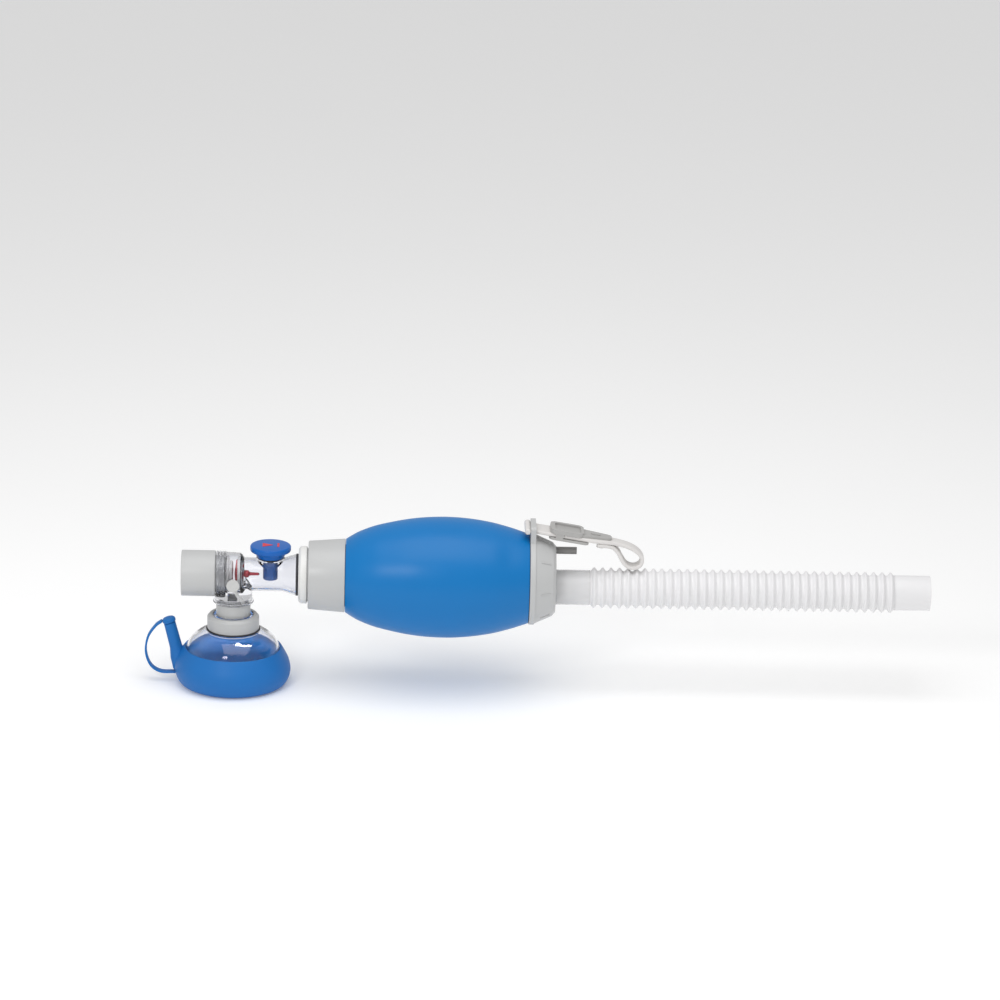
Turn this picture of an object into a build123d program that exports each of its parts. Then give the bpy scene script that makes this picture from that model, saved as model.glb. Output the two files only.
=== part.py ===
from build123d import *
import math
import os

# Small bag valve mask. +Z is up and +X runs along the bag from the patient valve to the reservoir tube.
# The origin is on the surface that the mask stands on, on the patient connector's axis. Millimetres.

AXIS_Z = 75.0  # height of the valve, bag and inlet axis
TUBE_Z = 69.5  # height of the reservoir tube's axis, below the inlet's centre
FIT = 0.05  # radial clearance of a running fit
GAP = 0.3  # clearance between pieces that move apart

CAP_R = 15.0  # 30 mm outside cone of the expiratory port
CONE_R = 11.2  # 22 mm outside cone of the patient connector
BORE_R = 7.5  # 15 mm bore of the patient connector
TUBE_BORE_R = 11.0  # 22 mm inside cone of the reservoir tube
NIPPLE_R, NIPPLE_ROOT_R, NIPPLE_START, NIPPLE_END = 2.4, 2.7, 210.2, 223.6
NIPPLE_Y, NIPPLE_Z = 8.5, AXIS_Z + 17.0

DRUM_LEFT, DRUM_RIGHT, DRUM_R, DRUM_BORE_R = -4.8, 4.2, 14.2, 12.2
BARREL_R, BARREL_BORE_R = 11.0, 9.5
HOUSING_END, HOUSING_END_R = 50.5, 13.9
NECK_BOTTOM, NECK_R, NECK_BORE_R, NECK_BORE_TOP = 57.4, 12.2, 10.0, 58.9
CONNECTOR_BOTTOM = 38.5

KNOB_X, KNOB_R, KNOB_TOP = 23.9, 13.3, 95.0
WEB_TOP, SLEEVE_BOTTOM, SPRING_TOP = 86.3, 72.0, 84.9
SLEEVE_R, SLEEVE_BORE_R = 4.8, 3.9
STEM_R = 1.6

COLLAR_LEFT, COLLAR_RIGHT = 48.6, 72.6
BAG_LEFT, BAG_RIGHT, BAG_WALL = 72.9, 192.3, 2.2
BAG_SHAPE = ((82, 29.2), (101.5, 35.4), (121, 38.7), (137, 39.5), (160, 37.8), (180, 33.3))
BAG_LEFT_R, BAG_RIGHT_R = 24.0, 29.4
FRONT_MOUTH_R, REAR_MOUTH_R = 20.2, 22.7  # outsides of the bag's two mouths

FLANGE_LEFT, FLANGE_RIGHT, FLANGE_R = 192.7, 196.5, 30.0
INLET_END, INLET_END_R = 209.8, 21.8
SPIGOT_END, SPIGOT_R = 224.4, 10.9
CUFF_START, RIBS_START, RIBS_END, TUBE_END = 210.4, 232.4, 432.0, 455.1
CUFF_R, CREST_R, VALLEY_R, TUBE_WALL, RIB_COUNT = 11.5, 13.5, 11.0, 0.5, 36

STRAP_PIVOT = Vector(190.9, 0, 110.4)
STRAP_FALL = 9.0  # degrees that the strap falls towards the loop
STRAP_WIDTH, STRAP_THICK, LOOP_WIDTH = 16.0, 2.4, 10.0
BUCKLE_WIDTH = 18.0
LOOP_CORNERS = ((249.5, 101.2), (262.0, 98.0), (267.6, 91.0), (264.0, 84.6), (256.5, 84.6),
                (248.0, 98.75))
FOLD_END = (236.0, 100.8)  # where the strap's folded end lies under its main run

CUSHION_R, CUSHION_TOP, CUSHION_IN_R = 37.8, 22.3, 20.0
CUSHION_FLAT = (26.0, 31.0)  # inner and outer radius of the flat ring that the mask stands on
STEM_FOOT, STEM_TOP = Vector(-33.4, 0, 9.2), Vector(-41.6, 0, 40.7)

os.makedirs("parts", exist_ok=True)


def save(name, shape):
    export_step(shape, f"parts/{name}.step")


def outline(points):
    """A closed face in the XZ plane from corners given as (x, z)."""
    return Face(Wire.make_polygon([(x, 0, z) for x, z in points], close=True))


def turned(points, height=AXIS_Z):
    """A solid turned about the X axis at a height, from corners given as (x, radius)."""
    return revolve(outline([(x, height + r) for x, r in points]), Axis((0, 0, height), (1, 0, 0)))


def upright(points, x=0.0):
    """A solid turned about a vertical axis, from corners given as (radius, z)."""
    return revolve(outline([(x + r, z) for r, z in points]), Axis((x, 0, 0), (0, 0, 1)))


def rod(start, end, radius):
    """A plain cylinder from one point to another."""
    start, end = Vector(*start), Vector(*end)
    plane = Plane(origin=start, z_dir=end - start)
    return extrude(plane * Circle(radius), (end - start).length)


def block(low, high):
    """A box from its lowest and highest corners."""
    size = [b - a for a, b in zip(low, high)]
    middle = [(a + b) / 2 for a, b in zip(low, high)]
    return Pos(*middle) * Box(*size)


def rounded_path(start, corners, end):
    """Straight runs joined by arcs that are as large as their two runs allow."""
    points = [Vector(x, 0, z) for x, z in (start, *corners, end)]
    radii = []
    for before, here, after in zip(points, points[1:], points[2:]):
        shorter = min((here - before).length, (after - here).length)
        turn = math.radians((here - before).get_angle(after - here))
        radii.append(0.45 * shorter / math.tan(turn / 2))
    return FilletPolyline(*points, radius=radii)


def ribbon(path, width, thick):
    """A flat band that is square to Y and follows a path in the XZ plane."""
    start = Plane(origin=path @ 0, x_dir=(0, 1, 0), z_dir=path % 0)
    return sweep(start * Rectangle(width, thick), path=path)


# Mask: clear dome, air cushion, collar ring, gasket, inflation stem with its plug and tether.


def make_mask():
    neck = [(CONE_R + FIT, 34.7), (CONE_R + FIT, 47.3), (13.4, 47.3), (13.4, 36.9), (17.6, 36.5)]
    outer = ThreePointArc((17.6, 0, 36.5), (26.5, 0, 32.0), (30.9, 0, 24.4))
    rim = Polyline((30.9, 0, 24.4), (32.5, 0, 23.6), (32.5, 0, 22.4), (29.2, 0, 22.4))
    inner = ThreePointArc((29.2, 0, 22.4), (25.1, 0, 30.3), (16.8, 0, 34.7))
    top = Polyline((16.8, 0, 34.7), *[(r, 0, z) for r, z in neck])
    dome = make_face([*outer.edges(), *rim.edges(), *inner.edges(), *top.edges()])
    save("mask_dome", revolve(dome, Axis.Z))

    ring = [(13.45, 37.6), (17.0, 37.6), (17.0, 45.9), (15.6, 47.4), (13.45, 47.4)]
    save("mask_collar", upright(ring))
    save("collar_gasket", upright([(13.5, 37.0), (17.8, 37.0), (17.8, 37.55), (13.5, 37.55)]))

    flat_in, flat_out = CUSHION_FLAT
    crown_in, crown_out = 27.0, 31.8
    side = ThreePointArc((flat_out, 0, 0), (CUSHION_R, 0, 10.8), (crown_out, 0, CUSHION_TOP))
    crown = Line((crown_out, 0, CUSHION_TOP), (crown_in, 0, CUSHION_TOP))
    inside = ThreePointArc((crown_in, 0, CUSHION_TOP), (CUSHION_IN_R, 0, 11.5), (flat_in, 0, 0))
    foot = Line((flat_in, 0, 0), (flat_out, 0, 0))
    ring_face = make_face([*side.edges(), *crown.edges(), *inside.edges(), *foot.edges()])
    along = (STEM_TOP - STEM_FOOT).normalized()
    stem_outside = rod(STEM_FOOT, STEM_TOP, 3.85)
    save("mask_cushion", revolve(ring_face, Axis.Z) - stem_outside)

    plug_pin_foot = STEM_TOP - along * 9
    save("inflation_stem", stem_outside - rod(plug_pin_foot - along, STEM_TOP + along, 2.4))
    plug = rod(plug_pin_foot + along * 0.5, STEM_TOP + along * 0.5, 2.4 - FIT)
    plug += rod(STEM_TOP + along * GAP, STEM_TOP + along * 3.6, 4.35)
    save("inflation_plug", plug)

    corners = ((-50.5, 38.0), (-57.6, 30.5), (-58.4, 15.5), (-51.0, 6.6))
    save("plug_tether", ribbon(rounded_path((-47.0, 41.6), corners, (-37.9, 7.0)), 5.0, 1.4))


# Patient connector: 22 mm outside, 15 mm inside, with the swivel that turns in the housing's neck.


def make_connector():
    shell = [(BORE_R, CONNECTOR_BOTTOM), (CONE_R, CONNECTOR_BOTTOM), (CONE_R, NECK_BOTTOM - 0.2)]
    spigot_r, spigot_top = NECK_BORE_R - FIT, NECK_BORE_TOP - 0.1
    spigot = [(spigot_r, NECK_BOTTOM - 0.2), (spigot_r, spigot_top), (8.3, spigot_top), (8.3, 55),
              (BORE_R, 55)]
    save("patient_connector", upright(shell + spigot))
    ring_low, ring_high = NECK_BOTTOM - 1.3, NECK_BOTTOM - 0.4
    save("swivel_ring", upright([(11.25, ring_low), (13.3, ring_low), (13.3, ring_high), (11.25, ring_high)]))
    seal_low, seal_high = NECK_BOTTOM - 0.18, NECK_BOTTOM - 0.04
    save("swivel_seal", upright([(10.0, seal_low), (11.9, seal_low), (11.9, seal_high), (10.0, seal_high)]))


# Valve housing and what it holds.


def make_housing():
    barrel_top = [(5.6, 12.7), (6.8, BARREL_R), (32.0, BARREL_R), (40.5, 13.6), (40.5, 12.9), (42.2, 12.9)]
    end = [(42.2, HOUSING_END_R), (HOUSING_END, HOUSING_END_R), (HOUSING_END, 12.3), (41.0, 12.3)]
    bore = [(32.0, BARREL_BORE_R), (DRUM_RIGHT, BARREL_BORE_R), (DRUM_RIGHT, DRUM_BORE_R)]
    drum = [(DRUM_LEFT, DRUM_BORE_R), (DRUM_LEFT, DRUM_R), (DRUM_RIGHT, 13.7)]
    cavity = [(DRUM_LEFT - 1, 0), (DRUM_LEFT - 1, DRUM_BORE_R), (DRUM_RIGHT, DRUM_BORE_R),
              (DRUM_RIGHT, BARREL_BORE_R), (32.0, BARREL_BORE_R), (41.0, 12.3), (60, 12.3), (60, 0)]
    housing = turned(drum + barrel_top + end + bore)
    neck = rod((0, 0, NECK_BOTTOM), (0, 0, AXIS_Z), NECK_R)
    neck -= turned([(-20, 0), (-20, CAP_R + GAP), (DRUM_LEFT, CAP_R + GAP), (DRUM_LEFT, 0)])
    boss = rod((KNOB_X, 0, AXIS_Z + 4), (KNOB_X, 0, WEB_TOP), 9.4)
    port = rod((0, -11, 72), (0, -15.2, 72), 3.1)
    housing = housing + (neck + boss + port - turned(cavity))
    housing -= rod((0, 0, NECK_BOTTOM - 1), (0, 0, NECK_BORE_TOP), NECK_BORE_R)
    housing -= block((-3.2, -7.5, NECK_BORE_TOP - 1), (2.4, 7.5, 68))
    housing -= rod((0, -8, 72), (0, -16, 72), 2.1)
    housing -= rod((KNOB_X, 0, 80), (KNOB_X, 0, SPRING_TOP), 6.0)
    housing -= rod((KNOB_X, 0, 80), (KNOB_X, 0, WEB_TOP + 1), STEM_R + FIT)
    for place in PolarLocations(4.6, 4):
        housing -= Pos(KNOB_X, 0, 85) * place * Cylinder(1.0, 10)
    save("valve_housing", housing)


def make_exhaust():
    spigot_r = DRUM_BORE_R - 0.25
    cap = [(-34.0, 13.2), (-34.0, CAP_R), (-12.6, CAP_R), (-12.5, 14.8), (-11.8, 14.8), (-11.8, spigot_r),
           (-5.2, spigot_r), (-5.2, 10.6), (-13.2, 10.6), (-13.2, 13.2)]
    save("expiratory_cap", turned(cap))

    ring_bore = spigot_r + FIT
    ribs = [(-11.2, ring_bore), (-11.2, 14.8)]
    for k in range(3):
        left = -11.2 + 1.9 * k
        ribs += [(left + 1.1, 14.8), (left + 1.3, 14.2), (left + 1.7, 14.2), (left + 1.9, 14.8)]
    ribs += [(-5.0, 14.8), (-5.0, 13.2), (DRUM_LEFT, 13.2), (DRUM_LEFT, ring_bore)]
    save("valve_ring", turned(ribs))

    nozzle = [(-9.0, 7.2), (-9.0, 8.6), (-4.6, 8.6), (-4.6, 12.05), (-3.4, 12.05), (-3.4, 8.6), (-0.9, 8.6),
              (-0.9, 7.2)]
    save("exhaust_seat", turned(nozzle))


def spoked_seat(left, right, outer, bore, hub, hole):
    """A rim and a hub, joined by four spokes, about the main axis."""
    rim = turned([(left, bore), (left, outer), (right, outer), (right, bore)])
    seat = rim + turned([(left, hole), (left, hub), (right, hub), (right, hole)])
    middle = (left + right) / 2
    for k in range(4):
        spoke = Pos(0, 0, (bore + hub) / 2) * Box(right - left, 1.6, bore - hub + 1.2)
        seat += Pos(middle, 0, AXIS_Z) * Rot(45 + 90 * k, 0, 0) * spoke
    return seat


def make_shutter():
    save("shutter_seat", spoked_seat(2.6, DRUM_RIGHT, 12.05, 8.4, 3.4, 1.58))
    umbrella = [(0.4, 0), (0.4, 2.5), (1.5, 9.3), (2.4, 9.3), (2.4, 9.0), (1.4, 2.5), (1.4, 1.5)]
    tail = [(6.4, 1.5), (7.2, 2.4), (9.6, 2.4), (10.6, 1.1), (17.0, 0.8), (17.0, 0)]
    save("shutter_valve", turned(umbrella + tail))


def make_limiter():
    rim = [(0, KNOB_TOP), (12.5, KNOB_TOP), (KNOB_R, 94.1), (KNOB_R, 90.3), (12.3, 89.3), (9.6, 89.0),
           (9.0, 87.0)]
    foot_top, foot_bottom, foot_r = SLEEVE_BOTTOM + 1.6, SLEEVE_BOTTOM + 0.6, SLEEVE_BORE_R - GAP
    stem = [(STEM_R, 87.0), (STEM_R, foot_top), (foot_r, foot_top), (foot_r, foot_bottom), (0, foot_bottom)]
    save("limiter_knob", upright(rim + stem, KNOB_X))
    seal = [(2.4, 86.35), (8.6, 86.35), (8.6, 86.95), (2.4, 86.95)]
    save("limiter_seal", upright(seal, KNOB_X))
    sleeve_top = SPRING_TOP - 0.05
    sleeve = [(SLEEVE_BORE_R, SLEEVE_BOTTOM), (SLEEVE_R, SLEEVE_BOTTOM), (SLEEVE_R, sleeve_top),
              (SLEEVE_BORE_R, sleeve_top)]
    save("limiter_sleeve", upright(sleeve, KNOB_X))

    wire, turns = 0.35, 7
    low, high = foot_top + wire + 0.05, SPRING_TOP - wire - 0.05
    coil = Pos(KNOB_X, 0, low) * Helix((high - low) / turns, high - low, 2.7)
    start = Plane(origin=coil @ 0, z_dir=coil % 0)
    save("limiter_spring", sweep(start * Circle(wire), path=coil, is_frenet=True))

    arrow = Polygon((-5.2, -3.6), (1.6, 0), (-5.2, 3.6), align=None)
    bar = Pos(5.0, 0) * Rectangle(1.4, 7.2)
    save("knob_pointer", Pos(KNOB_X, 0, KNOB_TOP) * extrude(arrow + bar, 0.2))


def make_port_cap():
    cap = rod((0, -15.4, 72), (0, -17.0, 72), 4.2) + rod((0, -15.4, 72), (0, -12.6, 72), 2.1 - FIT)
    save("port_cap", cap)
    start, end = Vector(2.2, -16.2, 67.4), Vector(6.9, -11.9, 58.6)
    plane = Plane(origin=start, z_dir=end - start, x_dir=(1, 0.3, 0.2))
    strip = extrude(plane * Rectangle(2.4, 0.9), (end - start).length)
    foot = Pos(0, 0, NECK_BOTTOM + 0.1) * extrude(Circle(NECK_R + 1.2) - Circle(NECK_R), 2.0)
    wedge = block((4.9, -14, NECK_BOTTOM), (9.1, -8, AXIS_Z))
    save("port_tether", strip - rod((0, 0, 50), (0, 0, 64), NECK_R) + (foot & wedge))


# Neck: from the housing to the bag.


def make_neck():
    save("neck_seal", turned([(40.6, 12.95), (40.6, 13.75), (42.1, 13.75), (42.1, 12.95)]))
    ring_bore = HOUSING_END_R + 0.1
    ring = [(42.3, ring_bore), (42.3, 17.0), (44.0, 18.8), (47.9, 18.8), (47.9, ring_bore)]
    save("neck_ring", turned(ring))
    web = [(47.9, ring_bore), (47.9, 17.5), (COLLAR_LEFT, 17.5), (COLLAR_LEFT, 22.0), (49.0, 22.4)]
    skirt = [(72.2, 24.1), (COLLAR_RIGHT, 23.8), (COLLAR_RIGHT, FRONT_MOUTH_R + GAP),
             (51.0, FRONT_MOUTH_R + GAP), (51.0, ring_bore)]
    save("neck_collar", turned(web + skirt))
    mouth_bore = FRONT_MOUTH_R - BAG_WALL - GAP
    insert = [(51.05, 12.6), (51.05, 19.9), (53.0, 19.9), (53.0, mouth_bore), (72.0, mouth_bore),
              (72.0, 15.6), (53.0, 15.6), (53.0, 12.6)]
    save("neck_insert", turned(insert))


def make_bag():
    def profile(inset):
        body = [(BAG_LEFT + inset, BAG_LEFT_R - inset), *[(x, r - inset) for x, r in BAG_SHAPE],
                (BAG_RIGHT - inset, BAG_RIGHT_R - inset)]
        curve = Spline(*[(x, 0, AXIS_Z + r) for x, r in body])
        front_r, rear_r = FRONT_MOUTH_R - inset, REAR_MOUTH_R - inset
        front = [(53.4, front_r), (BAG_LEFT + inset, front_r), body[0]]
        rear = [body[-1], (BAG_RIGHT - inset, rear_r), (203.4, rear_r)]
        lines = [Polyline(*[(x, 0, AXIS_Z + r) for x, r in part]) for part in (front, rear)]
        return [*lines[0].edges(), *curve.edges(), *lines[1].edges()]

    ends = []
    for x, radius in ((53.4, FRONT_MOUTH_R), (203.4, REAR_MOUTH_R)):
        ends += Line((x, 0, AXIS_Z + radius - BAG_WALL), (x, 0, AXIS_Z + radius)).edges()
    face = make_face([*profile(0), *profile(BAG_WALL), *ends])
    save("squeeze_bag", revolve(face, Axis((0, 0, AXIS_Z), (1, 0, 0))))


# Inlet: flange with the strap lug, collar with the spigot, insert, seat, flap and oxygen nipple.


def make_inlet():
    bore = REAR_MOUTH_R + GAP
    flange = [(FLANGE_LEFT, bore), (FLANGE_LEFT, 29.7), (193.3, FLANGE_R), (195.9, FLANGE_R),
              (FLANGE_RIGHT, 29.7), (FLANGE_RIGHT, bore)]
    lug = Pos(194.6, 0, 106.0) * Box(3.4, 22.0, 15.2)
    lug = fillet(lug.edges().filter_by(Axis.X).group_by(Axis.Z)[-1], 2.5)
    lug -= turned([(190, 0), (190, 28), (200, 28), (200, 0)])
    slot = block((190, -8.6, 107.6), (200, 8.6, 112.4))
    save("strap_ring", turned(flange) + lug - slot)

    cone = [(196.55, 29.2), (207.8, 24.2), (INLET_END, INLET_END_R), (INLET_END, 0), (207.0, 0),
            (207.0, bore), (196.55, bore)]
    collar = turned(cone)
    collar += rod((INLET_END - 1, 0, TUBE_Z), (SPIGOT_END, 0, TUBE_Z), SPIGOT_R)
    slope = math.degrees(math.atan2(29.2 - 24.2, 207.8 - 196.55))
    for k in range(8):
        rib = Pos(203.2, 0, 26.35) * Rot(0, slope, 0) * Box(7.0, 0.6, 0.7)
        collar += Pos(0, 0, AXIS_Z) * Rot(45 * k + 4, 0, 0) * rib
    collar -= rod((200, 0, TUBE_Z), (230, 0, TUBE_Z), 9.4)
    collar -= rod((200, NIPPLE_Y, NIPPLE_Z), (215, NIPPLE_Y, NIPPLE_Z), NIPPLE_ROOT_R)
    save("inlet_collar", collar)
    nipple = rod((206.9, NIPPLE_Y, NIPPLE_Z), (NIPPLE_START, NIPPLE_Y, NIPPLE_Z), NIPPLE_ROOT_R)
    nipple += rod((NIPPLE_START, NIPPLE_Y, NIPPLE_Z), (NIPPLE_END, NIPPLE_Y, NIPPLE_Z), NIPPLE_R)
    nipple -= rod((206, NIPPLE_Y, NIPPLE_Z), (NIPPLE_END + 1, NIPPLE_Y, NIPPLE_Z), 1.3)
    save("oxygen_nipple", nipple)

    mouth_bore = REAR_MOUTH_R - BAG_WALL - GAP
    insert = [(190.0, 17.6), (190.0, mouth_bore), (203.6, mouth_bore), (203.6, 22.5), (206.9, 22.5),
              (206.9, 19.2), (201.2, 19.2), (201.2, 17.6)]
    save("inlet_insert", turned(insert))
    save("inlet_seat", spoked_seat(201.3, 203.0, 19.1, 13.0, 3.4, 1.58))
    flap = [(200.3, 0), (200.3, 15.0), (201.2, 15.0), (201.2, 1.5), (205.3, 1.5), (205.3, 2.3), (206.3, 2.3),
            (206.3, 0)]
    save("inlet_flap", turned(flap))


# Reservoir: corrugated tube between two smooth cuffs.


def make_reservoir():
    cuff_bore = SPIGOT_R + FIT
    cuff = [(CUFF_START, cuff_bore), (CUFF_START, CUFF_R), (RIBS_START, CUFF_R),
            (RIBS_START, CUFF_R - TUBE_WALL), (RIBS_START - 1, cuff_bore)]
    save("tube_cuff_inlet", turned(cuff, TUBE_Z))
    pitch = (RIBS_END - RIBS_START) / RIB_COUNT
    crests = []
    for k in range(RIB_COUNT):
        left = RIBS_START + pitch * k
        crests += [(left, VALLEY_R), (left + 0.4 * pitch, CREST_R), (left + 0.6 * pitch, CREST_R)]
    crests.append((RIBS_END, VALLEY_R))
    bore = [(x, r - TUBE_WALL) for x, r in reversed(crests)]
    save("reservoir_tube", turned(crests + bore, TUBE_Z))
    end = [(RIBS_END, TUBE_BORE_R), (RIBS_END, CUFF_R), (454.4, CUFF_R), (TUBE_END, CUFF_R - 0.3),
           (TUBE_END, TUBE_BORE_R)]
    save("tube_cuff_open", turned(end, TUBE_Z))


# Strap: band with T-shaped stop and finger loop, stud, buckle and lower plate.


def make_strap():
    fall = math.radians(STRAP_FALL)
    along = Vector(math.cos(fall), 0, -math.sin(fall))
    band_plane = Plane(origin=STRAP_PIVOT, x_dir=along, z_dir=(math.sin(fall), 0, math.cos(fall)))
    path = rounded_path((STRAP_PIVOT.X + 0.5, STRAP_PIVOT.Z - 0.08), LOOP_CORNERS, FOLD_END)
    wide, narrow = STRAP_WIDTH / 2, LOOP_WIDTH / 2
    taper = [(180, -wide), (235, -wide), (247, -narrow), (280, -narrow)]
    plan = Polygon(*taper, *[(x, -y) for x, y in reversed(taper)], align=None)
    band = ribbon(path, STRAP_WIDTH, STRAP_THICK) & Pos(0, 0, 70) * extrude(plan, 60)
    stop = STRAP_PIVOT + Vector(0, 10.5, 0)
    band += rod(stop, STRAP_PIVOT - Vector(0, 10.5, 0), 2.0)
    stud_at = 48.8
    top, bottom = STRAP_THICK / 2, -STRAP_THICK * 1.5 - 0.2
    shank = extrude(band_plane * Pos(stud_at, 0, bottom - 0.2) * Circle(1.2), top - bottom + 0.2)
    save("strap_band", band - shank)
    save("strap_stud", shank + extrude(band_plane * Pos(stud_at, 0, bottom - 1.5) * Circle(2.4), 1.3))

    half = BUCKLE_WIDTH / 2
    body = Pos(25.5, 0) * RectangleRounded(22.0, BUCKLE_WIDTH, 4.0)
    tongue = Polygon((28.0, -half + 0.6), (55.2, -3.6), (55.2, 3.6), (28.0, half - 0.6), align=None)
    tongue = fillet(tongue.vertices().group_by(Axis.X)[-1], 3.0)
    seat = STRAP_THICK / 2 + 0.1
    buckle = extrude(band_plane * Pos(0, 0, seat) * (body + tongue), 1.5)
    buckle += extrude(band_plane * Pos(0, 0, seat + 1.4) * body, 1.5)
    recess = Pos(26.0, 0) * RectangleRounded(17.0, 12.6, 1.6)
    buckle -= extrude(band_plane * Pos(0, 0, seat + 1.6) * recess, 2.0)
    buckle += extrude(band_plane * Pos(44.5, 0, seat + 1.4) * SlotOverall(6.5, 3.4), 0.7)
    save("strap_buckle", buckle)

    floor = extrude(band_plane * Pos(27.5, 0, -seat - 1.6) * RectangleRounded(26.0, BUCKLE_WIDTH, 3.0), 1.6)
    for side in (-1, 1):
        wall = band_plane * Pos(21.0, side * (half - 0.45), -seat - 0.1) * Rectangle(5.0, 0.8)
        floor += extrude(wall, 2 * seat + 0.05)
    save("buckle_plate", floor)


make_mask()
make_connector()
make_housing()
make_exhaust()
make_shutter()
make_limiter()
make_port_cap()
make_neck()
make_bag()
make_inlet()
make_reservoir()
make_strap()
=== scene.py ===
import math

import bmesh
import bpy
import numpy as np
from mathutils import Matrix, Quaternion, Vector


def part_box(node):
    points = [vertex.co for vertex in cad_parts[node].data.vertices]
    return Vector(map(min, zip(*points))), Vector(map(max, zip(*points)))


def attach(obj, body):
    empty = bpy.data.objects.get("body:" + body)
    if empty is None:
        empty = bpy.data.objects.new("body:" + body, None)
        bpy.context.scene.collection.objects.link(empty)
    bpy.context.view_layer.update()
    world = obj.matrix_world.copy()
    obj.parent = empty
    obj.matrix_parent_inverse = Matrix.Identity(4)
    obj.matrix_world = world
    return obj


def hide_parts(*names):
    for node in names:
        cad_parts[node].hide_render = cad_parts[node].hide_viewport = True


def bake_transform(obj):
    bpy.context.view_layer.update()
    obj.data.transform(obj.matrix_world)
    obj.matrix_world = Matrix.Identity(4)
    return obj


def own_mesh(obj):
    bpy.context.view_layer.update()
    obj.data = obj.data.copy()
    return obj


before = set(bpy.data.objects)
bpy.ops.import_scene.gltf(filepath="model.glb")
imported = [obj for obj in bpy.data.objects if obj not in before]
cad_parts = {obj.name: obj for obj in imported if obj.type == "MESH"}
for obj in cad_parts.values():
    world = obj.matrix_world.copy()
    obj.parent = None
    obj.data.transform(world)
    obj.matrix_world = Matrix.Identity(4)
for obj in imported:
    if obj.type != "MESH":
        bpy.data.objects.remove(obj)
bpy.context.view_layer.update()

# %% [markdown]
# A small bag valve mask has three kinds of surface: turned plastic fittings along two axes, soft blue
# silicone, and a pale corrugated tube. It could be put together from ready-made cylinders and modifiers, but
# nearly all of it is round, so one function that turns a profile about an axis makes most pieces at their
# exact sizes. The frame gives the places: both axes are read from its fittings.

MM = 0.001


def middle(node):
    """The middle of a node's box, as an array in metres."""
    low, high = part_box(node)
    return (np.array(low) + np.array(high)) / 2


MAIN_Z = middle("expiratory_cap")[2]
TUBE_Z = middle("tube_cuff_open")[2]
KNOB_X = middle("limiter_knob")[0]
X, Y, Z = np.eye(3)
print("main axis", round(MAIN_Z, 4), "tube axis", round(TUBE_Z, 4), "knob", round(KNOB_X, 4))

# %% [markdown]
# Moulded plastic never has a truly sharp corner: the small rounding is what catches the light along a rim. A
# bevel modifier could add it, but with one width for all edges. So a profile is written as corners with a
# rounding radius each, and a function replaces each corner by an arc that touches both its sides. A second
# function passes a smooth curve through a few points, for soft shapes.

# %% Profiles with rounded corners
SIDE_SHARE = 0.45
NEARLY_FOLDED, NEARLY_STRAIGHT = 0.05, 1.55


def rounded(corners, steps=5, closed=True):
    """Each corner (a, r, radius) becomes an arc tangent to its two sides: the arc starts where the corner's
    angle lets a circle of that radius touch, and uses no more than a set share of the shorter side."""
    corners = np.array(corners, float)
    places, radii = corners[:, :2], corners[:, 2]
    count, out = len(places), []
    for i in range(count):
        here = places[i]
        if not closed and i in (0, count - 1):
            out.append(here[None])
            continue
        before, after = places[i - 1] - here, places[(i + 1) % count] - here
        long_before, long_after = np.linalg.norm(before), np.linalg.norm(after)
        before, after = before / long_before, after / long_after
        half = math.acos(np.clip(before @ after, -1, 1)) / 2
        if radii[i] <= 0 or not NEARLY_FOLDED <= half <= NEARLY_STRAIGHT:
            out.append(here[None])
            continue
        reach = min(radii[i] / math.tan(half), SIDE_SHARE * min(long_before, long_after))
        radius = reach * math.tan(half)
        bisector = (before + after) / np.linalg.norm(before + after)
        centre = here + bisector * radius / math.sin(half)
        start, end = here + before * reach - centre, here + after * reach - centre
        turn = np.linspace(0, 1, steps)[:, None]
        swing = math.pi - 2 * half
        arc = np.sin((1 - turn) * swing) * start + np.sin(turn * swing) * end
        out.append(centre + arc / math.sin(swing))
    return np.concatenate(out)


print("points on a rounded square:", len(rounded([(0, 0, 1), (9, 0, 1), (9, 9, 1), (0, 9, 1)])))

# %% Smooth curves


def smooth_curve(points, count, closed=False):
    """A cubic through the points: at each point the slope is the step between its two neighbours. The
    parameter grows by the square root of each distance, so the curve doesn't overshoot on short steps."""
    p = np.array(points, float)
    if closed:
        p = np.concatenate([p[-2:], p, p[:3]])
    else:
        p = np.concatenate([[2 * p[0] - p[1]], p, [2 * p[-1] - p[-2]]])
    t = np.concatenate([[0], np.cumsum(np.sqrt(np.linalg.norm(np.diff(p, axis=0), axis=1)))])
    slope = np.empty_like(p)
    slope[1:-1] = (p[2:] - p[:-2]) / (t[2:] - t[:-2])[:, None]
    slope[0], slope[-1] = slope[1], slope[-2]
    first, last = (2, len(p) - 3) if closed else (1, len(p) - 2)
    at = np.linspace(t[first], t[last], count, endpoint=not closed)
    k = np.clip(np.searchsorted(t, at, side="right") - 1, first, last - 1)
    step = (t[k + 1] - t[k])[:, None]
    u = ((at - t[k])[:, None]) / step
    return ((2 * u**3 - 3 * u**2 + 1) * p[k] + (u**3 - 2 * u**2 + u) * step * slope[k]
            + (3 * u**2 - 2 * u**3) * p[k + 1] + (u**3 - u**2) * step * slope[k + 1])


print("a curve through three points:", smooth_curve([(0, 0), (1, 1), (2, 0)], 5).round(2).tolist())

# %% [markdown]
# Every new piece is a grid of points. Rows run along the piece and columns run round it, and the faces
# follow from the grid's own numbering, so whole arrays make them at once. Rows that shrink to a point on the
# axis are merged, so each pole is closed, and the faces are turned over together if the volume that they
# enclose comes out negative.

# %% Meshes from grids
SHARP = math.radians(40)
SAME_POINT = 1e-6


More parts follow.
